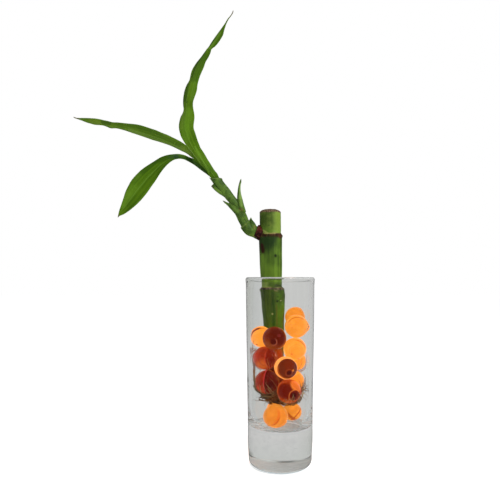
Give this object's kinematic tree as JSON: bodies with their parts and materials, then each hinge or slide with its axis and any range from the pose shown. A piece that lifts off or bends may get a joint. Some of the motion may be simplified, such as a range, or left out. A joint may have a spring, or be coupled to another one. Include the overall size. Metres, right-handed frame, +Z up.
{
  "type": "lucky bamboo in glass vase",
  "caption": "Lucky bamboo cane with a leafy side shoot, standing in a clear round glass vase filled with orange and dark red gel beads.",
  "frame": {"origin": "middle of the vase's foot, on the surface it stands on", "axes": "+Z up along the vase's axis, +X to the right as seen from the front, so the leaves reach toward -X, and the front is -Y"},
  "size_m": [0.1417, 0.0393, 0.2474],
  "materials": {
    "glass": "clear thin-walled glass with a thick solid base",
    "cane": "smooth green living stalk with dark rings and a dried cut top",
    "root": "fine dry brown root fibres",
    "shoot": "soft satin green stem wrapped in leaf sheaths",
    "leaf": "thin satin green leaf with lengthwise veins",
    "bead": "wet clear orange water gel"
  },
  "bodies": {
    "root": {"vase": "glass", "cane": "cane", "shoot": "shoot", "leaf_up": "leaf", "leaf_left": "leaf", "leaf_low": "leaf", "roots": "root", "bead_01": "bead", "bead_02": "bead", "bead_03": "bead", "bead_04": "bead", "bead_05": "bead", "bead_06": "bead", "bead_07": "bead", "bead_08": "bead", "bead_09": "bead", "bead_10": "bead", "bead_11": "bead", "bead_12": "bead", "bead_13": "bead", "bead_14": "bead"}
  },
  "joints": []
}
